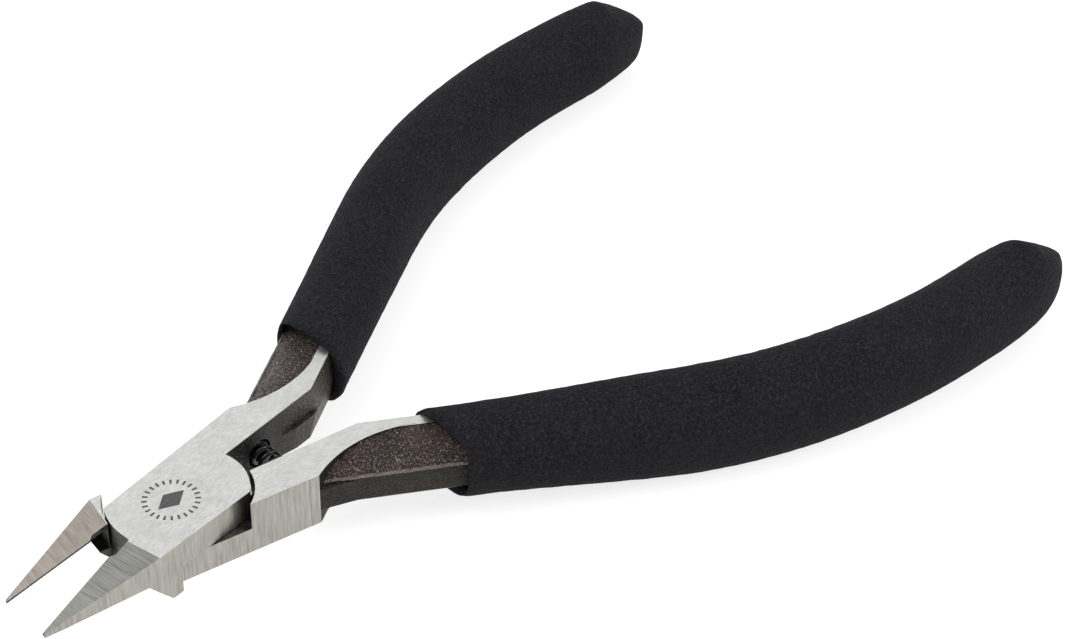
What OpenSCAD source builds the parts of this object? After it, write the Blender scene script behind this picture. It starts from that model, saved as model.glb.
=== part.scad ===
// Sprue nippers: slim side cutter for plastic model parts, held open by its spring.
// +Z up, millimetres. The origin is on the pivot axis at the joint's back face.
// X runs along the tool: jaw tips at -X, handles at +X. Each half is drawn with the
// tool closed, its handle on +Y and its jaw on -Y, then swung open about the pivot.

/* [Overall] */
// angle between the halves when the spring holds them open, degrees
open_angle = 17; // [12:0.5:20]
// joint thickness
thick = 6.6; // [5.4:0.1:8]
// half width of the joint at the pivot
joint_half_w = 5; // [4.4:0.1:5.8]
// how much each ground side spreads towards the handles, per millimetre
side_flare = 0.031; // [0:0.005:0.05]

/* [Joint] */
// radius of the upper plate's front end about the pivot
plate_front_r = 7.8; // [7:0.1:8.6]
// how far the lower plate's hidden front end is short of the upper one
low_plate_step = 1; // [0.5:0.1:1.2]
// radius that rounds the plates' rear ends
plate_rear_round = 6.2; // [6:0.1:7]
// centre of that rear rounding, behind the pivot
plate_rear_x = 1.45; // [1:0.05:2]
// running gap between a plate's end and the other half
end_gap = 0.25; // [0.15:0.05:0.5]
// gap between the two plates' faces
lap_gap = 0.1; // [0.05:0.05:0.3]
// height of the plates' meeting plane as a share of the thickness
lap_share = 0.49; // [0.4:0.01:0.6]

/* [Pivot rivet] */
// radius of the rivet's shank
rivet_r = 2.1; // [1.6:0.1:2.5]
// radius of the rivet's flush heads
rivet_head_r = 2.9; // [2.7:0.1:3.6]
// depth of each flush head
rivet_head_h = 0.9; // [0.6:0.1:1.4]
// radial running clearance in the upper half
rivet_clear = 0.01; // [0.01:0.01:0.1]

/* [Jaws] */
// distance from the pivot to the jaw tips
jaw_reach = 20; // [17:0.5:24]
// distance from the pivot to the corner where a jaw's bevel starts
bevel_start = 7.85; // [7.6:0.05:8.6]
// height of the tips above the back face
tip_z = 2.6; // [2.2:0.1:3.2]
// width of the blunted tip
tip_w = 0.3; // [0.2:0.05:0.6]
// turn of the bevel's top line, degrees
bevel_turn = 3.6; // [0:0.4:8]
// clearance of each cutting edge from the middle when closed
edge_gap = 0.06; // [0.03:0.01:0.15]
// depth of the flat land left on the cutting edge
edge_land = 0.15; // [0.08:0.01:0.3]
// slope of the relief under each cutting edge, rise over run
relief_slope = 0.75; // [0.6:0.05:0.9]
// depth of the notch at the root of each cutting edge
root_notch = 0.45; // [0.2:0.05:0.8]
// distance from the pivot to the foot of the slope under the jaws
slope_start = 6.55; // [6.2:0.05:7]
// angle of that slope, degrees
slope_angle = 50; // [42:1:56]

/* [Handle roots] */
// distance from the pivot to the rear end of the ground sides
side_end = 13.3; // [12.5:0.1:14.5]
// half gap between the inner walls when closed
inner_gap = 0.7; // [0.5:0.05:1]
// height of the handle bars' underside
bar_z = 0.5; // [0.3:0.05:1]
// width of the forged handle bar
bar_w = 6.5; // [6:0.1:7]
// height of the parting ridge along the bar's outer side
ridge_z = 4.9; // [4.4:0.1:5.2]
// width of the ground strip on the bar where it enters the grip
strip_w = 1.4; // [1:0.1:2]
// radius of the hollow along the strip's outer edge
strip_hollow_r = 13.4; // [12.6:0.1:13.6]
// how far the bar lies outside the grip's centreline
bar_offset = 0.4; // [0.1:0.05:0.6]

/* [Grips] */
// distance from the pivot to the start of the bowed part
bow_x = 49.4; // [46:0.2:54]
// distance of that start from the tool's middle line when closed
bow_y = 16; // [15:0.2:18]
// angle of the straight part, degrees
handle_angle = 23.3; // [22:0.1:25]
// centreline radius of the bowed part
bow_r = 75.4; // [68:0.5:84]
// sweep of the bowed part to the centre of the rounded end, degrees
bow_sweep = 38.8; // [34:0.2:42]
// radius of the foam grip
grip_r = 5.6; // [5.4:0.1:6.2]
// length of the grip ahead of the bowed part
grip_lead = 23.7; // [20:0.1:26]
// height of the grip's centreline
grip_z = 3.4; // [3.2:0.1:4]
// clearance between the foam and the bar
grip_clear = 0.05; // [0.02:0.01:0.1]

/* [Return spring] */
// distance of the spring's axis behind the pivot
spring_x = 12.4; // [12:0.1:13]
// outside radius of the coil
spring_r = 1.35; // [1.2:0.05:1.8]
// wire diameter
spring_wire = 0.5; // [0.4:0.05:0.6]
// number of turns
spring_turns = 7; // [6:1:9]
// depth of each spring pocket below the inner wall
pocket_depth = 1.8; // [1.2:0.1:2.2]
// radial clearance of the pocket
pocket_clear = 0.3; // [0.2:0.05:0.5]

/* [Hidden] */
$fn = 96;
big = 60;
// how far a cut runs past the face it opens
past = 1;
// how far one part of a half reaches into the next
lap = 1;
half_open = open_angle / 2;
lap_low = thick * lap_share - lap_gap / 2;
lap_high = thick * lap_share + lap_gap / 2;
wall_front_r = plate_front_r + end_gap;
wall_rear_round = plate_rear_round + end_gap;
low_front_r = plate_front_r - low_plate_step;
wall_low_r = low_front_r + end_gap;
// jaws
jaw_back_x = 3;
tip_depth = 0.45;
tip_under_z = tip_z - tip_depth;
notch_length = 2;
notch_end = bevel_start + notch_length;
notch_rake = 0.1;
notch_run_out = 0.5;
bevel_slope = (thick - tip_z) / (jaw_reach - bevel_start);
relief_tilt_x = atan(relief_slope / sqrt(1 + bevel_slope * bevel_slope));
relief_tilt_y = -atan(bevel_slope);
slope_top_x = slope_start + lap_low / tan(slope_angle);
throat_half_w = 2.8;
throat_back = 0.25;
// shoulder and back face
shoulder_front_x = 2;
back_end = side_end + 0.4;
back_run = 1;
// crown of the bar: a round top through the strip's edge and the parting ridge
crown_drop = 0.15;
crown_run = bar_w - strip_w;
crown_rise = thick - crown_drop - ridge_z;
crown_back = 9;
crown_chord = sqrt(crown_run * crown_run + crown_rise * crown_rise);
crown_r = sqrt(crown_back * crown_back + crown_chord * crown_chord / 4);
crown_n = -crown_run / 2 - crown_back * crown_rise / crown_chord;
crown_z = ridge_z + crown_rise / 2 - crown_back * crown_run / crown_chord;
// lower part of the bar: rounded outside, drawn out to a parting line inside
bar_round = 1.2;
bar_bulge = 0.35;
parting_z = thick * 0.45;
parting_round = 0.3;
strip_foot = 1;
swell_gap = 0.3;
swell_run = 2;
swell_start = 16;
// wedge between the joint's side and the bar
wedge_end = side_end + 5;
wedge_tuck = 0.05;
wedge_side_tuck = 0.1;
wedge_drop = 0.4;
// plain core of the bar inside the bow
core_inset = 0.3;
core_overlap = 2;
core_short = 3;
lead_swell = 0.1;
lead_overlap = 1.5;
// the grip's front is square across the closed tool, so its lead starts further forward
grip_slant = (grip_r + lap) * tan(handle_angle);
grip_front_x = bow_x - grip_lead * cos(handle_angle);
// plan of the bowed centreline
bow_cx = bow_x + bow_r * sin(handle_angle);
bow_cy = bow_y - bow_r * cos(handle_angle);
bar_sweep = bow_sweep - core_short;
bar_lead = (bow_x - side_end + lap) / cos(handle_angle);
bar_inner = bar_w / 2 - bar_offset;
bar_outer = bar_w / 2 + bar_offset;
// where the bar's inner side meets the inner wall, and where the strip settles
bend_x = bow_x - (bow_y - bar_inner / cos(handle_angle) - inner_gap) / tan(handle_angle);
strip_dip = 0.15;
strip_turn_x = bend_x + 5;
strip_tuck = 0.02;
strip_z = thick - strip_tuck;
strip_line_y = bow_y + (strip_turn_x - bow_x) * tan(handle_angle)
    + (strip_w - bar_inner) / cos(handle_angle);
strip_cx = strip_turn_x - (strip_hollow_r - strip_dip) * sin(handle_angle);
strip_cy = strip_line_y + (strip_hollow_r - strip_dip) * cos(handle_angle);
// the spring stops a little short of the pockets' floors
spring_seat = 0.9;
spring_z = thick * lap_share;
spring_y = inner_gap * cos(half_open) + spring_x * tan(half_open);
pocket_r = spring_r + pocket_clear;
spring_half = spring_y + pocket_depth * spring_seat;

function side_w(x) = joint_half_w + side_flare * x;

// ---- plan outlines of one half, closed, handle on +Y ----

// band between the two ground sides
module side_band() {
    polygon([
        [-big, -side_w(-big)],
        [side_end, -side_w(side_end)],
        [side_end, side_w(side_end)],
        [-big, side_w(-big)]
    ]);
}

// a lap plate: round front, rounder rear, flush ground sides
module plate_plan(front_r) {
    intersection() {
        union() {
            intersection() {
                circle(front_r);
                translate([-big, -big / 2]) square([big, big]);
            }
            intersection() {
                translate([plate_rear_x, 0]) circle(plate_rear_round);
                translate([0, -big / 2]) square([big, big]);
            }
        }
        side_band();
    }
}

// a jaw and its root, with the notch that ends the cutting edge
module jaw_plan() {
    polygon([
        [-jaw_back_x, -edge_gap],
        [-plate_front_r, -edge_gap],
        [-plate_front_r - notch_rake, -edge_gap - root_notch],
        [-notch_end, -edge_gap - root_notch],
        [-notch_end - notch_run_out, -edge_gap],
        [-jaw_reach, -edge_gap],
        [-jaw_reach, -edge_gap - tip_w],
        [-bevel_start, -side_w(-bevel_start)],
        [-jaw_back_x, -side_w(-jaw_back_x)]
    ]);
}

// the ground shoulder behind the joint
module shoulder_plan() {
    intersection() {
        side_band();
        translate([shoulder_front_x, inner_gap]) square([side_end - shoulder_front_x, big]);
    }
}

// the ground strip that runs from the shoulder on to the bar, hollow on its outer side
module strip_plan() {
    difference() {
        translate([side_end - lap, inner_gap])
            square([strip_turn_x - side_end + lap, side_w(side_end) - inner_gap]);
        translate([strip_cx, strip_cy]) circle(strip_hollow_r);
        bar_frame() translate([-big, strip_tuck - bar_inner - big])
            square([2 * big, big]);
    }
}

// ---- handle bar ----

// section across the bar ahead of the bow: x outwards from the middle, y up
module bar_section(grow = 0) {
    intersection() {
        translate([bar_outer + crown_n, crown_z]) circle(crown_r + grow);
        polygon([
            [-bar_inner - grow, bar_z - grow],
            [bar_outer - bar_round, bar_z - grow],
            [bar_outer + grow, bar_z + bar_round],
            [bar_outer + grow, strip_z + grow],
            [-bar_inner - grow, strip_z + grow],
            [-bar_inner - bar_bulge - grow, parting_z]
        ]);
    }
    translate([-bar_inner - grow, bar_z + strip_foot])
        square([strip_w + grow, strip_z + grow - bar_z - strip_foot]);
}

// plainer section of the bar inside the bowed part of the grip
module core_section(grow = 0) {
    translate([core_inset - bar_inner - grow, bar_z + core_inset - grow])
        square([bar_w - 2 * core_inset + 2 * grow,
                ridge_z - bar_z + 2 * grow]);
}

module bar_frame() {
    translate([bow_x, bow_y]) rotate(handle_angle) children();
}

// sweep a section along the straight lead
module along_lead(lead, behind = 0) {
    bar_frame() translate([-lead, 0, 0]) rotate([90, 0, 90])
        linear_extrude(lead + behind) children();
}

// sweep a section along the bow
module along_bow(sweep, ahead = 0) {
    translate([bow_cx, bow_cy, 0]) rotate([0, 0, 90 + handle_angle - sweep])
        rotate_extrude(angle = sweep + ahead) translate([bow_r, 0]) children();
}

// wedge that thickens the start of the bar out to the ground side
module bar_root() {
    low = bar_z + bar_round;
    translate([0, 0, low]) linear_extrude(ridge_z - wedge_drop - low) polygon([
        [side_end - lap, inner_gap + lap],
        [side_end - lap, side_w(side_end) - wedge_tuck],
        [side_end, side_w(side_end) - wedge_tuck],
        [wedge_end, bow_y + (wedge_end - bow_x) * tan(handle_angle)
            + (bar_outer - wedge_side_tuck) / cos(handle_angle)],
        [wedge_end, inner_gap + 2 * lap]
    ]);
}

// the space the bar may fill; below the parting line it swells towards the other half
module bar_room() {
    translate([side_end - lap, inner_gap + strip_tuck, -big]) cube([3 * big, big, 2 * big]);
    linear_extrude(parting_z + parting_round) polygon([
        [swell_start, inner_gap + lap],
        [swell_start, inner_gap + strip_tuck],
        [swell_start + swell_run, swell_gap],
        [bend_x + swell_run, swell_gap],
        [bend_x + swell_run, inner_gap + lap]
    ]);
}

module handle_bar(grow = 0) {
    intersection() {
        along_lead(bar_lead) bar_section(grow);
        bar_room();
    }
    along_bow(bar_sweep, core_overlap) core_section(grow);
}

// ---- cuts ----

// the bevel on top of a jaw
module bevel_cut() {
    translate([-bevel_start, -side_w(-bevel_start), thick]) rotate([0, 0, bevel_turn])
        rotate([90, 0, 0]) translate([0, 0, -big / 2]) linear_extrude(big)
            polygon([[0, 0], [0, big / 2], [-big / 2, big / 2],
                     [-big / 2, -bevel_slope * big / 2]]);
}

// the slope under the front of the joint
module slope_cut() {
    rotate([90, 0, 0]) translate([0, 0, -big / 2]) linear_extrude(big)
        polygon([
            [-slope_start, 0],
            [-slope_start, -past],
            [-jaw_reach - past, -past],
            [-jaw_reach - past, tip_under_z],
            [-jaw_reach, tip_under_z],
            [-slope_top_x, lap_low]
        ]);
}

// the relief that leaves a knife edge along the inside of the bevel
module relief_cut() {
    intersection() {
        translate([-bevel_start, -edge_gap, thick - edge_land])
            rotate([relief_tilt_x, relief_tilt_y, 0])
                translate([-big / 2, -big / 2, -big]) cube([big, big, big]);
        union() {
            translate([-big, -big / 2, -past]) cube([big - slope_top_x, big, big]);
            translate([-big, -throat_half_w, lap_high])
                cube([big - bevel_start - throat_back, throat_half_w + past, big]);
        }
    }
}

// the step where the joint's back face ends and the thinner bar begins
module back_step() {
    rotate([90, 0, 0]) translate([0, 0, -big]) linear_extrude(2 * big)
        polygon([[back_end, 0], [back_end + back_run, bar_z], [big, bar_z],
                 [big, -past], [back_end, -past]]);
}

// the spring's pocket, square to the middle line when the tool is open
module spring_pocket() {
    rotate([0, 0, -half_open]) translate([spring_x, 0, spring_z]) rotate([-90, 0, 0])
        cylinder(r = pocket_r, h = spring_y + pocket_depth);
}

// ---- one half ----

// full_front is the radius outside which the jaw root stands full height
module half_blank(low, high, plate_r, full_front) {
    difference() {
        union() {
            linear_extrude(thick) difference() {
                jaw_plan();
                circle(full_front);
            }
            linear_extrude(thick) difference() {
                shoulder_plan();
                translate([plate_rear_x, 0]) circle(wall_rear_round);
            }
            translate([0, 0, low]) linear_extrude(high - low) {
                plate_plan(plate_r);
                jaw_plan();
                shoulder_plan();
            }
            linear_extrude(thick) strip_plan();
        }
        bevel_cut();
        slope_cut();
        relief_cut();
        back_step();
    }
    bar_root();
    handle_bar();
}

module swing_up() {
    rotate([0, 0, half_open]) children();
}

module swing_low() {
    rotate([0, 0, -half_open]) mirror([0, 1, 0]) children();
}

module upper_half() {
    color([0.78, 0.78, 0.76]) swing_up() difference() {
        half_blank(lap_high, thick, plate_front_r, wall_low_r);
        spring_pocket();
        translate([0, 0, -past]) cylinder(r = rivet_r + rivet_clear, h = thick + 2 * past);
        translate([0, 0, thick - rivet_head_h])
            cylinder(r = rivet_head_r + rivet_clear, h = rivet_head_h + past);
    }
}

module lower_half() {
    color([0.72, 0.72, 0.7]) swing_low() difference() {
        half_blank(0, lap_low, low_front_r, wall_front_r);
        spring_pocket();
        translate([0, 0, -past]) cylinder(r = rivet_r, h = thick + 2 * past);
        translate([0, 0, -past]) cylinder(r = rivet_head_r, h = rivet_head_h + past);
    }
}

module pivot_rivet() {
    color([0.6, 0.6, 0.6]) {
        cylinder(r = rivet_r, h = thick);
        cylinder(r = rivet_head_r, h = rivet_head_h);
        translate([0, 0, thick - rivet_head_h + lap_gap / 2])
            cylinder(r = rivet_head_r, h = rivet_head_h - lap_gap / 2);
    }
}

// ---- return spring ----

// a wire wound along Y, its ends closed and seated in the two pockets
module return_spring() {
    ring = 8;
    steps = 18;
    count = spring_turns * steps;
    coil_r = spring_r - spring_wire / 2;
    run = spring_half - spring_wire / 2;
    wire_points = [
        for (i = [0 : count])
            let (a = 360 * i / steps,
                 y = run * (2 * i / count - 1),
                 c = cos(a),
                 s = sin(a))
            for (j = [0 : ring - 1])
                let (b = 360 * j / ring,
                     r = coil_r + spring_wire / 2 * cos(b))
                [spring_x + r * c, y + spring_wire / 2 * sin(b), spring_z + r * s]
    ];
    wire_faces = concat(
        [[for (j = [0 : ring - 1]) j]],
        [for (i = [0 : count - 1]) for (j = [0 : ring - 1])
            let (k = (j + 1) % ring)
            [i * ring + j, (i + 1) * ring + j, (i + 1) * ring + k, i * ring + k]],
        [[for (j = [ring - 1 : -1 : 0]) count * ring + j]]
    );
    color([0.08, 0.08, 0.08]) polyhedron(wire_points, wire_faces, convexity = 10);
}

// ---- foam grips ----

module foam_grip() {
    difference() {
        union() {
            along_lead(grip_lead + grip_slant, lead_overlap)
                translate([0, grip_z]) circle(grip_r + lead_swell);
            along_bow(bow_sweep) translate([0, grip_z]) circle(grip_r);
            translate([bow_cx, bow_cy, 0])
                rotate([0, 0, 90 + handle_angle - bow_sweep])
                    translate([bow_r, 0, grip_z]) sphere(grip_r);
        }
        handle_bar(grip_clear);
        translate([grip_front_x - big, -big, -big]) cube([big, 2 * big, 2 * big]);
    }
}

module upper_grip() {
    color([0.1, 0.1, 0.12]) swing_up() foam_grip();
}

module lower_grip() {
    color([0.1, 0.1, 0.12]) swing_low() foam_grip();
}

upper_half();
lower_half();
pivot_rivet();
return_spring();
upper_grip();
lower_grip();
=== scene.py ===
import math
import bmesh
import bpy
from mathutils import Matrix, Vector, noise


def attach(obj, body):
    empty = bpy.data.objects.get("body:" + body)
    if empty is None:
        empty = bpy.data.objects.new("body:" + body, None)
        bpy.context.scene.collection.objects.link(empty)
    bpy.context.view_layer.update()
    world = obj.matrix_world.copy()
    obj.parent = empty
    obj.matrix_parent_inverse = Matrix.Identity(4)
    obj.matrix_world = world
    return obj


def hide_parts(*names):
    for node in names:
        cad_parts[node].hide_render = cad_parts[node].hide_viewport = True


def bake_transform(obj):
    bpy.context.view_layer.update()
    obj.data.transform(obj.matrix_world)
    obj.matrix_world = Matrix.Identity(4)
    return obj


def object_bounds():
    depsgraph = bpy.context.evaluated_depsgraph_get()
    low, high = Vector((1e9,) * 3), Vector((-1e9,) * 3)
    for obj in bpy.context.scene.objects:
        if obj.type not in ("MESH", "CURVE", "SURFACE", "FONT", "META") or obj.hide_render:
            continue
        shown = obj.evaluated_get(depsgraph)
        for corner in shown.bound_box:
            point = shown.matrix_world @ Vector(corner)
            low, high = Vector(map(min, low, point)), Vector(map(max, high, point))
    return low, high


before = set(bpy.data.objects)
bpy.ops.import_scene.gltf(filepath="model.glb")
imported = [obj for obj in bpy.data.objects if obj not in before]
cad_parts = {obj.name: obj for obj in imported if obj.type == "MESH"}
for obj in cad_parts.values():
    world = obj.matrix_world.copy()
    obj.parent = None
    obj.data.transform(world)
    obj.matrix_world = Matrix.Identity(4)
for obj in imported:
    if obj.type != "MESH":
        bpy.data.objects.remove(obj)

cad_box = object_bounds()

MM = 0.001

# ---- sizes shared with the CAD, in millimetres ----
HALF_OPEN = 8.5
THICK = 6.6
SIDE_END = 13.3
BOW_X, BOW_Y = 49.4, 16.0
HANDLE_ANGLE = 23.3
BOW_R = 75.4
GRIP_LEAD = 23.7
GRIP_Z = 3.4
BAR_OFFSET = 0.4
BAR_W = 6.5
BAR_Z = 0.5
RIDGE_Z = 4.9
SPRING_X = 12.4
SPRING_R = 1.35
SPRING_WIRE = 0.5
SPRING_TURNS = 7
SPRING_Z = THICK * 0.49
SPRING_SEAT = 0.9
INNER_GAP = 0.7
POCKET_DEPTH = 1.8
JOINT_HALF_W = 5.0
SIDE_FLARE = 0.031
BEVEL_START = 7.85

# ---- camera ----
CAM_AZIMUTH = 44.4
CAM_ELEVATION = 39.0
CAM_ROLL = 0.93
CAM_DISTANCE = 304.3
CAM_AIM = (49.2, -1.0, 3.3)
CAM_LENS = 91.1
SENSOR = 36.0

HALVES = {"upper": 1, "lower": -1}


def to_world(side, x, y, z):
    """A point of a closed half, handle on +Y, swung to its place at rest. Metres."""
    a = math.radians(HALF_OPEN)
    wx = x * math.cos(a) - y * math.sin(a)
    wy = x * math.sin(a) + y * math.cos(a)
    return Vector((wx * MM, side * wy * MM, z * MM))


def to_closed(side, p):
    """The reverse of to_world, for a vector in metres, in millimetres."""
    a = math.radians(HALF_OPEN)
    x, y = p.x / MM, side * p.y / MM
    cx = x * math.cos(a) + y * math.sin(a)
    cy = -x * math.sin(a) + y * math.cos(a)
    return Vector((cx, cy, p.z / MM))


# ---- materials ----

class Nodes:
    """Small helper that builds one material's node tree."""

    def __init__(self, name):
        self.mat = bpy.data.materials.new(name)
        self.mat.use_nodes = True
        self.tree = self.mat.node_tree
        self.bsdf = self.tree.nodes["Principled BSDF"]

    def add(self, kind, **values):
        node = self.tree.nodes.new(kind)
        for key, value in values.items():
            if key in node.inputs:
                node.inputs[key].default_value = value
            else:
                setattr(node, key, value)
        return node

    def link(self, source, target):
        self.tree.links.new(source, target)

    def coords(self, scale=(1, 1, 1), turn=0.0):
        """Object coordinates in millimetres, turned about Z, then scaled."""
        tex = self.add("ShaderNodeTexCoord")
        turned = self.add("ShaderNodeMapping")
        turned.inputs["Rotation"].default_value = (0, 0, math.radians(-turn))
        turned.inputs["Scale"].default_value = (1 / MM, 1 / MM, 1 / MM)
        self.link(tex.outputs["Object"], turned.inputs["Vector"])
        scaled = self.add("ShaderNodeMapping")
        scaled.inputs["Scale"].default_value = scale
        self.link(turned.outputs["Vector"], scaled.inputs["Vector"])
        return scaled.outputs["Vector"]

    def axis(self, vector, name):
        node = self.add("ShaderNodeSeparateXYZ")
        self.link(vector, node.inputs["Vector"])
        return node.outputs[name]

    def noise(self, vector, scale, detail=2.0, roughness=0.5):
        node = self.add("ShaderNodeTexNoise", Scale=scale, Detail=detail, Roughness=roughness)
        self.link(vector, node.inputs["Vector"])
        return node.outputs["Fac"]

    def ramp(self, fac, stops):
        node = self.add("ShaderNodeValToRGB")
        ramp = node.color_ramp
        while len(ramp.elements) < len(stops):
            ramp.elements.new(0.5)
        for element, (place, colour) in zip(ramp.elements, stops):
            element.position = place
            element.color = (*colour, 1)
        self.link(fac, node.inputs["Fac"])
        return node.outputs["Color"]

    def span(self, fac, low, high, start=0.0, end=1.0):
        node = self.add("ShaderNodeMapRange")
        node.inputs["From Min"].default_value = start
        node.inputs["From Max"].default_value = end
        node.inputs["To Min"].default_value = low
        node.inputs["To Max"].default_value = high
        self.link(fac, node.inputs["Value"])
        return node.outputs["Result"]

    def mix(self, fac, a, b, mode="MIX"):
        node = self.add("ShaderNodeMix", data_type="RGBA", blend_type=mode)
        for value, name in ((fac, "Factor"), (a, "A"), (b, "B")):
            socket = node.inputs[name]
            if hasattr(value, "is_output"):
                self.link(value, socket)
            elif isinstance(value, tuple):
                socket.default_value = (*value, 1)
            else:
                socket.default_value = value
        return node.outputs["Result"]

    def bump(self, height, distance, strength=1.0, after=None):
        node = self.add("ShaderNodeBump", Strength=strength, Distance=distance * MM)
        self.link(height, node.inputs["Height"])
        if after is not None:
            self.link(after, node.inputs["Normal"])
        return node.outputs["Normal"]

    def finish(self, colour, roughness, normal, metallic=1.0, specular=0.5):
        self.link(colour, self.bsdf.inputs["Base Color"])
        if hasattr(roughness, "is_output"):
            self.link(roughness, self.bsdf.inputs["Roughness"])
        else:
            self.bsdf.inputs["Roughness"].default_value = roughness
        if normal is not None:
            self.link(normal, self.bsdf.inputs["Normal"])
        self.bsdf.inputs["Metallic"].default_value = metallic
        self.bsdf.inputs["Specular IOR Level"].default_value = specular
        return self.mat


def ground_steel(name, dark, light, streak, turn, rough=(0.3, 0.44)):
    """Ground steel: streak gives the grinding lines' density along X, Y and Z."""
    n = Nodes(name)
    lines = n.noise(n.coords(streak, turn), 1.0, 3.0, 0.6)
    cloud = n.noise(n.coords(), 0.35, 3.0)
    tone = n.ramp(lines, [(0.3, dark), (0.7, light)])
    stained = n.mix(n.span(cloud, 0.0, 0.22, 0.35, 0.75), tone, (0.55, 0.54, 0.5), "MULTIPLY")
    fine = n.bump(lines, 0.02, 0.5)
    return n.finish(stained, n.span(lines, *rough, 0.3, 0.7), fine)


def forged_steel(name, dark, light, glint, clear=None):
    """Steel with its forging scale and painted glinting specks; clear gives where along X the wall's
    painted shade starts and ends to lighten.
    """
    n = Nodes(name)
    place = n.coords()
    grain = n.noise(place, 5.0, 4.0, 0.7)
    speck = n.noise(place, 2.6, 2.0, 0.6)
    cloud = n.noise(place, 0.25, 3.0)
    skin_tone = n.ramp(cloud, [(0.3, dark), (0.7, light)])
    # painted highlights: bright glinting specks mixed into the scale's tone
    tone = n.mix(n.span(grain, 0.0, 0.9, 0.52, 0.72), skin_tone, glint)
    if clear:
        # painted shade: darkens the inner wall towards the joint, fading out along X
        tone = n.mix(n.span(n.axis(place, "X"), 0.0, 1.0, *clear), (0.012, 0.011, 0.010), tone)
    rough = n.span(speck, 0.22, 0.5, 0.35, 0.65)
    return n.finish(tone, rough, n.bump(speck, 0.5, 0.9, n.bump(grain, 0.4, 1.0)), 0.8)


def dark_steel():
    n = Nodes("dark_inner_steel")
    lines = n.noise(n.coords((1, 1, 3)), 1.5, 3.0)
    tone = n.ramp(lines, [(0.3, (0.024, 0.024, 0.023)), (0.75, (0.12, 0.116, 0.11))])
    return n.finish(tone, n.span(lines, 0.35, 0.55), n.bump(lines, 0.02), 0.8)


def foam():
    n = Nodes("black_foam")
    place = n.coords()
    pores = n.add("ShaderNodeTexVoronoi", Scale=2.6)
    n.link(place, pores.inputs["Vector"])
    fine = n.noise(place, 3.2, 3.0, 0.7)
    cloud = n.noise(place, 0.12, 3.0)
    base = n.ramp(cloud, [(0.3, (0.007, 0.007, 0.009)), (0.7, (0.012, 0.0115, 0.015))])
    speckled = n.mix(n.span(fine, 0.0, 0.85, 0.45, 0.7), base, (0.036, 0.035, 0.043))
    # painted light and shade: the foam is darkened towards the bottom and lightened towards the top
    tone = n.mix(1.0, speckled, n.span(n.axis(place, "Z"), 0.5, 1.25, -1.0, 8.0), "MULTIPLY")
    normal = n.bump(fine, 0.6, 1.0, n.bump(pores.outputs["Distance"], 0.4, 1.0))
    return n.finish(tone, 0.8, normal, 0.0, 0.14)


def black_wire():
    n = Nodes("black_spring_wire")
    fine = n.noise(n.coords(), 3.0, 2.0)
    tone = n.ramp(fine, [(0.3, (0.006, 0.006, 0.007)), (0.8, (0.014, 0.014, 0.016))])
    return n.finish(tone, n.span(fine, 0.14, 0.24), n.bump(fine, 0.01, 0.3), 0.0, 0.4)


def etched_grey():
    n = Nodes("etched_mark")
    fine = n.noise(n.coords(), 6.0, 3.0)
    tone = n.ramp(fine, [(0.3, (0.05, 0.05, 0.05)), (0.7, (0.11, 0.11, 0.11))])
    return n.finish(tone, 0.6, n.bump(fine, 0.01, 0.3), 0.3)


def pale_floor():
    n = Nodes("pale_floor")
    fine = n.noise(n.coords(), 0.02, 2.0)
    tone = n.ramp(fine, [(0.3, (0.39, 0.39, 0.39)), (0.7, (0.41, 0.41, 0.41))])
    n.bsdf.inputs["Emission Color"].default_value = (1, 1, 1, 1)
    n.bsdf.inputs["Emission Strength"].default_value = 0.75
    return n.finish(tone, 0.9, None, 0.0, 0.2)


# dark and light tone of each ground face, and its streaks' density along X, Y and Z
TOP_TONES = (0.70, 0.70, 0.68), (0.88, 0.88, 0.86)
TOP_STREAK = (1.6, 4, 1)
# painted shade: the ground sides are painted darker than the top, though both are the same ground steel
SIDE_TONES = (0.275, 0.268, 0.242), (0.44, 0.428, 0.385)
SIDE_STREAK = (4, 0.5, 0.25)
# painted shade and painted reflection: the upper half's bevel is painted dark grey and the lower half's
# lighter and pinkish, for how light falls on each; both are the same ground steel
BEVEL_TONES = {
    "upper": ((0.11, 0.11, 0.105), (0.21, 0.21, 0.196)),
    "lower": ((0.24, 0.215, 0.19), (0.37, 0.335, 0.30)),
}
BEVEL_STREAK = (7, 0.3, 1)
BEVEL_ROUGH = (0.3, 0.42)
# dark, light and glinting tone of each forged face; painted light and shade: the crown is painted
# lighter as the lit top and the flank darker as the shaded side of one forged steel, and the glinting
# tone paints bright specks as highlights
FORGED_TONES = {
    "crown": ((0.03, 0.024, 0.022), (0.075, 0.052, 0.046), (0.60, 0.50, 0.47)),
    "line": ((0.14, 0.12, 0.11), (0.24, 0.20, 0.18), (0.45, 0.40, 0.37)),
    "flank": ((0.022, 0.020, 0.016), (0.039, 0.035, 0.029), (0.10, 0.09, 0.075)),
    "inner": ((0.065, 0.060, 0.051), (0.105, 0.098, 0.085), (0.2, 0.19, 0.165)),
}
# painted shade: the inner wall is painted dark towards the joint, where the halves shade it, and
# lightens behind the spring
INNER_PAINTED_SHADE = (11.0, 17.0)


def half_steel(half, side):
    turn = side * HALF_OPEN
    name = half + "_ground_"
    return {
        "top": ground_steel(name + "top", *TOP_TONES, TOP_STREAK, turn),
        "side": ground_steel(name + "side", *SIDE_TONES, SIDE_STREAK, turn),
        "bevel": ground_steel(name + "bevel", *BEVEL_TONES[half], BEVEL_STREAK, turn, BEVEL_ROUGH),
    }


STEEL = {half: half_steel(half, side) for half, side in HALVES.items()}
FORGED = {
    key: forged_steel("forged_" + key, *tones, INNER_PAINTED_SHADE if key == "inner" else None)
    for key, tones in FORGED_TONES.items()
}
DARK = dark_steel()
FOAM = foam()
WIRE = black_wire()
ETCHED = etched_grey()


# ---- the CAD halves keep their shape and get a finish, with painted light and shade, face by face ----

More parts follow.
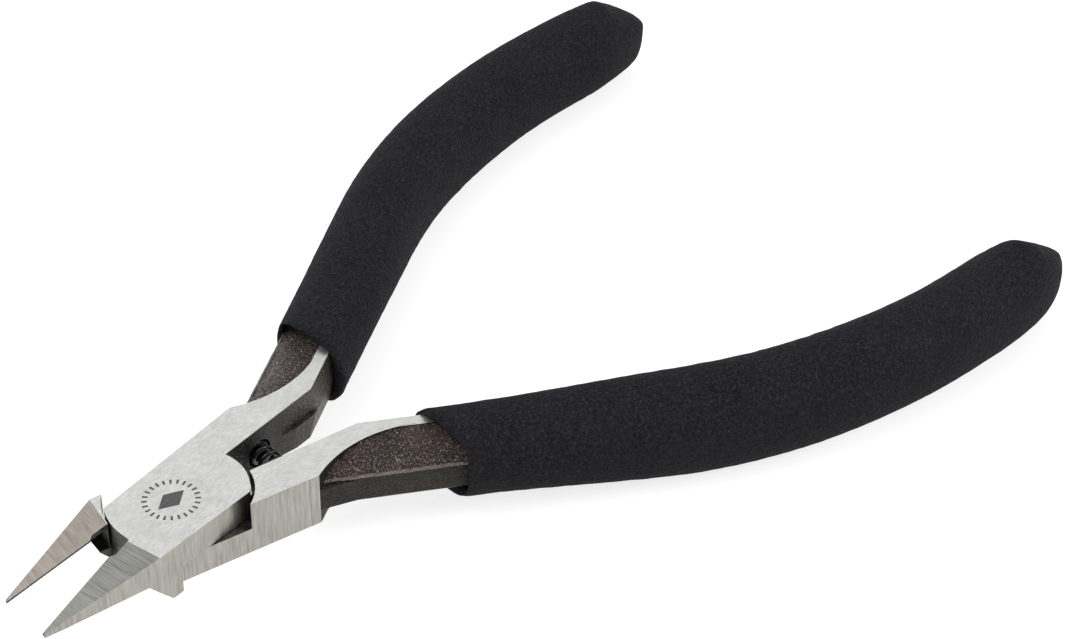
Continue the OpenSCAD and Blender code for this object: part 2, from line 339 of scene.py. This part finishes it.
def side_w(x):
    return JOINT_HALF_W + SIDE_FLARE * x


# how near a face's middle has to be to a level, or to a ground side, to belong to it
LEVEL_NEAR = 0.05
SIDE_NEAR = 0.06
# the crown ends this far inside the grip's centreline and this far below the ridge
CROWN_INNER = 2.3
CROWN_DEPTH = 0.5
# rounding of the halves' sharp edges, and the least angle of an edge it works on
EASE = 0.06
EASE_ANGLE = 25


def bar_painted_tone(c, n):
    """Painted tone of a face of the forged bar, from its centre and its normal: one of the lit crown,
    the shaded flank and the inner wall.
    """
    a = math.radians(HANDLE_ANGLE)
    out = (c.y - BOW_Y) * math.cos(a) - (c.x - BOW_X) * math.sin(a)
    faces_up = n.z > 0.15
    if faces_up and out > -CROWN_INNER and c.z > RIDGE_Z - CROWN_DEPTH:
        return "crown"
    return "inner" if faces_up or n.y < -0.5 else "flank"


def finish_and_shade_of(side, centre, normal):
    """Finish and painted tone of a face of a half, from its place and normal in the closed half."""
    c = to_closed(side, centre)
    n = to_closed(side, normal * MM)
    on_top = n.z > 0.999 and c.z > THICK - LEVEL_NEAR
    from_side = abs(abs(c.y) - side_w(min(c.x, SIDE_END)))
    on_side = from_side < SIDE_NEAR and abs(n.y) > 0.99
    if on_top:
        return "top"
    if c.x > SIDE_END + 0.02 and not on_side:
        return bar_painted_tone(c, n)
    if c.x < -BEVEL_START + 0.6 and 0.9 < n.z < 0.999:
        return "bevel"
    if on_side or (c.x < -BEVEL_START + 0.3 and n.y < -0.7):
        return "side"
    if n.z < -0.99 and c.z < LEVEL_NEAR:
        return "top"
    if c.x > 0 and 0 < c.y < 1.0:
        return "inner"
    return "dark"


def dress_half(half, side):
    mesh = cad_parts[half + "_half"].data
    mesh.materials.clear()
    finishes_and_shades = dict(STEEL[half])
    finishes_and_shades.update((key, FORGED[key]) for key in ("crown", "flank", "inner"))
    finishes_and_shades["dark"] = DARK
    slots = {}
    for key, material in finishes_and_shades.items():
        slots[key] = len(mesh.materials)
        mesh.materials.append(material)
    for face in mesh.polygons:
        face.material_index = slots[finish_and_shade_of(side, face.center, face.normal)]


def ease_edges(half):
    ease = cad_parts[half + "_half"].modifiers.new("eased_edges", "BEVEL")
    ease.width = EASE * MM
    ease.segments = 2
    ease.limit_method = "ANGLE"
    ease.angle_limit = math.radians(EASE_ANGLE)
    ease.harden_normals = False


for half, side in HALVES.items():
    dress_half(half, side)
    ease_edges(half)
rivet_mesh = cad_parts["pivot_rivet"].data
rivet_mesh.materials.clear()
rivet_mesh.materials.append(STEEL["upper"]["top"])


# ---- mesh helpers ----

def mesh_piece(name, verts, faces, material, smooth=True):
    mesh = bpy.data.meshes.new(name)
    mesh.from_pydata([tuple(v) for v in verts], [], faces)
    mesh.validate()
    mesh.materials.append(material)
    bm = bmesh.new()
    bm.from_mesh(mesh)
    bmesh.ops.recalc_face_normals(bm, faces=bm.faces)
    bm.to_mesh(mesh)
    bm.free()
    for face in mesh.polygons:
        face.use_smooth = smooth
    obj = bpy.data.objects.new(name, mesh)
    bpy.context.scene.collection.objects.link(obj)
    return obj


def skin(rings):
    """Vertices and faces of a closed skin over rings of equal length."""
    count = len(rings[0])
    verts = [v for ring in rings for v in ring]
    faces = []
    for i in range(len(rings) - 1):
        for j in range(count):
            k = (j + 1) % count
            here, there = i * count, (i + 1) * count
            faces.append((here + j, here + k, there + k, there + j))
    last = (len(rings) - 1) * count
    faces.append(tuple(reversed(range(count))))
    faces.append(tuple(range(last, last + count)))
    return verts, faces


# ---- foam grips ----

GRIP_SIDES = 96
GRIP_STEP = 0.6
# slant of the front against the handle, degrees, and how far back it fades out
GRIP_TILT = 27.5
LIP_FADE = 14.0
# rounded lip at the front, and how deep the bore is modelled behind it
LIP_DEPTH = 0.9
LIP_STEPS = 12
BORE_DEPTH = 6.0
# half width and half height at the front, and how they change: amount, start and run
GRIP_HALF_W = 4.75
GRIP_WIDER = 0.25, -GRIP_LEAD, 78
GRIP_HALF_H = 4.9
GRIP_TALLER = 1.46, -22, 27
GRIP_LOWER = -0.6, 13, 33
# the foam's shift sideways along the bow, and below its centreline
GRIP_SHIFT_IN = -0.26, 10, 18
GRIP_SHIFT_OUT = 0.14, 38, 10
GRIP_SAG = 0.04
# the rounded end: where its nose is, how far it lies outwards, where that shift starts
GRIP_NOSE = 57.8
NOSE_OUT = 1.4
NOSE_OUT_START = 44
NOSE_OUT_POWER = 1.2
NOSE_STEPS = 34
NOSE_CROWDING = 1.9
NOSE_LEAST = 0.004
SHAPE_END = 46
# where each side of the end starts to draw in, and the two powers of its curve
NOSE_DRAW = {
    "out": (43.4, 2.5, 1.1),
    "in": (40.0, 2.9, 1.9),
    "up": (50.5, 1.0, 1.3),
    "down": (54.0, 3.4, 2.7),
}
# how far each grip has crept along its bar
GRIP_CREEP = {"upper": -0.7, "lower": 0.0}
# corners of the grip's section and of its bore: 2 is an ellipse, more is squarer
GRIP_POWER = 2.1
BORE_POWER = 5.0
BORE_GAP = 0.12
# how far the skin wavers, and over what length
WAVER = 0.05
WAVER_SIZE = 1.1


def smooth(t):
    t = min(max(t, 0.0), 1.0)
    return t * t * (3 - 2 * t)


def eased(s, change):
    """What a change of an amount, from a start over a run, has added at s."""
    amount, start, run = change
    return amount * smooth((s - start) / run)


def handle_point(s):
    """Centreline of a handle, s in millimetres behind the start of the bow: x, y, angle."""
    a = math.radians(HANDLE_ANGLE)
    if s < 0:
        return BOW_X + s * math.cos(a), BOW_Y + s * math.sin(a), a
    turn = a - s / BOW_R
    cx = BOW_X + BOW_R * math.sin(a)
    cy = BOW_Y - BOW_R * math.cos(a)
    return cx - BOW_R * math.sin(turn), cy + BOW_R * math.cos(turn), turn


def bulge(value, size, power):
    return size * math.copysign(abs(value) ** (2 / power), value)


def handle_ring(side, s, sizes, offset, z, power=GRIP_POWER):
    """One ring round the centreline; sizes reach outwards, inwards, up and down."""
    out_size, in_size, up_size, down_size = sizes
    lean = math.tan(math.radians(GRIP_TILT)) * (1 - smooth((s + GRIP_LEAD) / LIP_FADE))
    ring = []
    for j in range(GRIP_SIDES):
        t = 2 * math.pi * j / GRIP_SIDES
        c, d = math.cos(t), math.sin(t)
        u = offset + bulge(c, out_size if c > 0 else in_size, power)
        v = z + bulge(d, up_size if d > 0 else down_size, power)
        x, y, a = handle_point(s + lean * u)
        ring.append(to_world(side, x - u * math.sin(a), y + u * math.cos(a), v))
    return ring


def grip_shape(s):
    """Sizes, sideways offset and middle height of the foam at s."""
    wider, start, run = GRIP_WIDER
    half_w = GRIP_HALF_W + wider * (s - start) / run
    half_h = GRIP_HALF_H + eased(s, GRIP_TALLER) + eased(s, GRIP_LOWER)
    offset = eased(s, GRIP_SHIFT_IN) + eased(s, GRIP_SHIFT_OUT)
    return (half_w, half_w, half_h, half_h), offset, GRIP_Z - GRIP_SAG


def lip_rings(half, side):
    """The bore of a grip and the rounded lip that leads out to its skin."""
    front = GRIP_CREEP[half] - GRIP_LEAD
    bore_w = BAR_W / 2 + BORE_GAP
    bore_h = (THICK - BAR_Z) / 2 + BORE_GAP
    bore = ((bore_w, bore_w, bore_h, bore_h), BAR_OFFSET, (THICK + BAR_Z) / 2)
    sizes, offset, z = grip_shape(front)
    rings = [handle_ring(side, front + BORE_DEPTH, *bore, BORE_POWER)]
    for i in range(LIP_STEPS + 1):
        t = math.pi * i / LIP_STEPS
        part = (1 - math.cos(t)) / 2
        lip = tuple(a + (b - a) * part for a, b in zip(bore[0], sizes))
        middle = bore[1] + (offset - bore[1]) * part, bore[2] + (z - bore[2]) * part
        power = BORE_POWER + (GRIP_POWER - BORE_POWER) * smooth(part)
        rings.append(handle_ring(side, front + LIP_DEPTH * (1 - math.sin(t)), lip, *middle, power))
    return rings


def drawn_in(s, start, rise, fall):
    """What is left of a side's size at s, as it closes towards the nose."""
    t = min(max((s - start) / (GRIP_NOSE - start), 0.0), 1.0)
    return max(1 - t ** rise, 0.0) ** (1 / fall)


def end_rings(side):
    """The far end, which closes in a different curve on each of its four sides."""
    start = NOSE_DRAW["in"][0]
    rings = []
    for i in range(1, NOSE_STEPS + 1):
        s = start + (GRIP_NOSE - start) * (1 - (1 - i / NOSE_STEPS) ** NOSE_CROWDING)
        sizes, offset, z = grip_shape(min(s, SHAPE_END))
        left = [max(drawn_in(s, *draw), NOSE_LEAST) for draw in NOSE_DRAW.values()]
        part = smooth((s - NOSE_OUT_START) / (GRIP_NOSE - NOSE_OUT_START))
        shift = NOSE_OUT * part ** NOSE_OUT_POWER
        sizes = [a * b for a, b in zip(sizes, left)]
        rings.append(handle_ring(side, s, sizes, offset + shift, z))
    return rings


def rough_up(obj, amount, size):
    """Moves the surface in and out a little, so that outlines are not ruled lines."""
    mesh = obj.data
    moves = [v.normal * noise.noise(v.co / (size * MM)) * amount * MM for v in mesh.vertices]
    for v, move in zip(mesh.vertices, moves):
        v.co += move


def foam_grip(name, half, side):
    rings = lip_rings(half, side)
    start = GRIP_CREEP[half] - GRIP_LEAD + LIP_DEPTH
    run = NOSE_DRAW["in"][0] - start
    steps = int(run / GRIP_STEP)
    for i in range(1, steps + 1):
        s = start + run * i / steps
        rings.append(handle_ring(side, s, *grip_shape(s)))
    obj = mesh_piece(name, *skin(rings + end_rings(side)), FOAM)
    rough_up(obj, WAVER, WAVER_SIZE)
    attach(obj, half)
    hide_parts(half + "_grip")


for half, side in HALVES.items():
    foam_grip(half + "_foam_sleeve", half, side)


# ---- parting line left on the forged bars ----

# where the line starts and how long it is, measured along the handle from the bow
LINE_START = -37.5
LINE_RUN = 17.5
LINE_STEPS = 60
LINE_DROP = 0.1
# section of the line: how far it stands out of the bar, and its height
LINE_SECTION = (-0.1, -0.2), (0.13, -0.07), (0.13, 0.07), (-0.1, 0.2)
# the line's two waves: height in millimetres, and radians per millimetre
LINE_WAVES = (0.03, 2.1), (0.02, 5.3)


def parting_line(name, half, side):
    outer = BAR_OFFSET + BAR_W / 2
    a = math.radians(HANDLE_ANGLE)
    rings = []
    for i in range(LINE_STEPS + 1):
        s = LINE_START + LINE_RUN * i / LINE_STEPS
        z = RIDGE_Z - LINE_DROP + sum(high * math.sin(rate * s) for high, rate in LINE_WAVES)
        x, y, _ = handle_point(s)
        rings.append([
            to_world(side, x - (outer + u) * math.sin(a), y + (outer + u) * math.cos(a), z + v)
            for u, v in LINE_SECTION
        ])
    obj = mesh_piece(name, *skin(rings), FORGED["line"], smooth=False)
    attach(obj, half)


for half, side in HALVES.items():
    parting_line(half + "_parting_line", half, side)


# ---- return spring ----

# rings per turn of the coil, and sides of the wire
COIL_STEPS = 32
WIRE_SIDES = 14


def coil_spring():
    a = math.radians(HALF_OPEN)
    wall = INNER_GAP * math.cos(a) + SPRING_X * math.tan(a)
    reach = wall + POCKET_DEPTH * SPRING_SEAT - SPRING_WIRE / 2
    coil_r = SPRING_R - SPRING_WIRE / 2
    steps = SPRING_TURNS * COIL_STEPS
    axis = Vector((SPRING_X, 0, SPRING_Z))
    along = Vector((0, 1, 0))
    rings = []
    for i in range(steps + 1):
        t = i / steps
        turn = 2 * math.pi * SPRING_TURNS * t
        out = Vector((math.cos(turn), 0, math.sin(turn)))
        centre = axis + out * coil_r + along * reach * (2 * t - 1)
        ring = []
        for j in range(WIRE_SIDES):
            b = 2 * math.pi * j / WIRE_SIDES
            ring.append((centre + (out * math.cos(b) + along * math.sin(b)) * SPRING_WIRE / 2) * MM)
        rings.append(ring)
    obj = mesh_piece("spring_coil", *skin(rings), WIRE)
    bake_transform(obj)
    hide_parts("return_spring")


coil_spring()


# ---- generic mark etched on the upper plate ----

# a lozenge in a ring of ticks; the film stands this far out of the plate and reaches this far in
MARK_CENTRE = -0.95, 0.3
MARK_FILM = 0.012
MARK_SINK = 0.01
LOZENGE = (-1.9, 0), (0, -1.15), (1.9, 0), (0, 1.15)
TICKS = 24
TICK_RADII = 2.45, 3.05
TICK_HALF_ANGLE = 2.5


def tick_outline(middle):
    """Outline of one tick of the ring, its middle in degrees."""
    angles = [math.radians(middle + turn) for turn in (-TICK_HALF_ANGLE, 0, TICK_HALF_ANGLE)]
    inner_r, outer_r = TICK_RADII
    outer = [(outer_r * math.cos(a), outer_r * math.sin(a)) for a in angles]
    inner = [(inner_r * math.cos(a), inner_r * math.sin(a)) for a in reversed(angles)]
    return outer + inner


def etched_mark():
    cx, cy = MARK_CENTRE
    verts, faces = [], []
    for shape in [LOZENGE] + [tick_outline(360 * k / TICKS) for k in range(TICKS)]:
        base = len(verts)
        count = len(shape)
        for z in (THICK - MARK_SINK, THICK + MARK_FILM):
            verts += [to_world(1, cx + x, cy + y, z) for x, y in shape]
        for j in range(count):
            k = (j + 1) % count
            faces.append((base + j, base + k, base + count + k, base + count + j))
        for level in (base, base + count):
            for j in range(count // 2 - 1):
                opposite = level + count - 1 - j
                faces.append((level + j, level + j + 1, opposite - 1, opposite))
    obj = mesh_piece("etched_mark", verts, faces, ETCHED, smooth=False)
    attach(obj, "upper")


etched_mark()


# ---- stage, light and camera ----

# in metres: the floor's radius, its distance under the part, and what the lights aim at
FLOOR_RADIUS = 3.0
FLOOR_DROP = 0.0008
LIGHT_AIM = 0.04, 0, 0
WORLD_STRENGTH = 0.8


def floor():
    place = (0, 0, cad_box[0][2] - FLOOR_DROP)
    bpy.ops.mesh.primitive_circle_add(vertices=64, radius=FLOOR_RADIUS, fill_type="NGON", location=place)
    obj = bpy.context.object
    obj.name = "floor"
    obj.data.materials.append(pale_floor())


def area_light(name, place, target, size, watts):
    data = bpy.data.lights.new(name, "AREA")
    data.energy = watts
    data.size = size
    obj = bpy.data.objects.new(name, data)
    obj.location = place
    obj.rotation_euler = (Vector(target) - Vector(place)).to_track_quat("-Z", "Y").to_euler()
    bpy.context.scene.collection.objects.link(obj)


def lights():
    world = bpy.data.worlds.new("studio")
    bpy.context.scene.world = world
    world.use_nodes = True
    background = world.node_tree.nodes["Background"].inputs
    background["Color"].default_value = (1, 1, 1, 1)
    background["Strength"].default_value = WORLD_STRENGTH
    area_light("key", (-0.35, 0.15, 0.75), LIGHT_AIM, 0.5, 2.0)
    area_light("glint", (-0.2, 0.4, 0.55), LIGHT_AIM, 0.06, 0.5)
    area_light("edge", (0.3, -0.5, 0.43), (0, 0, 0), 0.3, 1.3)


def camera():
    az, el, roll = (math.radians(v) for v in (CAM_AZIMUTH, CAM_ELEVATION, CAM_ROLL))
    right = Vector((math.cos(az), -math.sin(az), 0))
    ahead = Vector((math.sin(az) * math.cos(el), math.cos(az) * math.cos(el), -math.sin(el)))
    up = right.cross(ahead)
    r = right * math.cos(roll) + up * math.sin(roll)
    u = up * math.cos(roll) - right * math.sin(roll)
    data = bpy.data.cameras.new("camera")
    data.lens = CAM_LENS
    data.sensor_width = SENSOR
    data.sensor_fit = "HORIZONTAL"
    data.clip_start = 0.01
    data.clip_end = 20
    obj = bpy.data.objects.new("camera", data)
    place = Vector(CAM_AIM) * MM - ahead * CAM_DISTANCE * MM
    obj.matrix_world = Matrix((
        (r.x, u.x, -ahead.x, place.x),
        (r.y, u.y, -ahead.y, place.y),
        (r.z, u.z, -ahead.z, place.z),
        (0, 0, 0, 1),
    ))
    bpy.context.scene.collection.objects.link(obj)
    bpy.context.scene.camera = obj


floor()
lights()
camera()
bpy.context.scene.view_settings.view_transform = "Standard"
